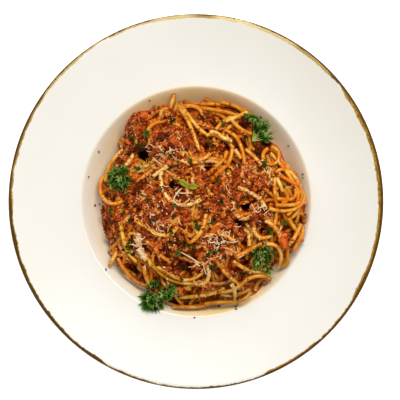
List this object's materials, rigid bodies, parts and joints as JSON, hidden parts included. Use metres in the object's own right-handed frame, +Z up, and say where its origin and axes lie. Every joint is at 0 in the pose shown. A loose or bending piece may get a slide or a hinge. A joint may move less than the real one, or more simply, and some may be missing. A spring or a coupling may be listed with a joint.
{
  "type": "spaghetti bolognese in a pasta plate",
  "caption": "Heaped spaghetti under mince sauce with grated cheese and curly parsley, in a wide-rim deep pasta plate with a brushed brown edge.",
  "frame": {"origin": "centre of the plate's foot ring, on the surface it stands on", "axes": "+Z up, +X to the right and +Y to the back as the dish is seen from straight above"},
  "size_m": [0.27, 0.27, 0.0515],
  "materials": {
    "stoneware": "gloss glaze, brown edge",
    "pasta": "boiled wheat pasta, wet with sauce",
    "sauce": "oily mince and tomato sauce",
    "parsley": "fresh leaf",
    "leaf": "fresh pale leaf",
    "cheese": "grated hard cheese"
  },
  "bodies": {
    "root": {"plate": "stoneware", "spaghetti": "pasta", "meat_sauce": "sauce", "parsley_sprig_left": "parsley", "parsley_sprig_upper_right": "parsley", "parsley_sprig_lower_left": "parsley", "parsley_sprig_lower_right": "parsley", "small_leaf": "leaf"}
  },
  "joints": []
}
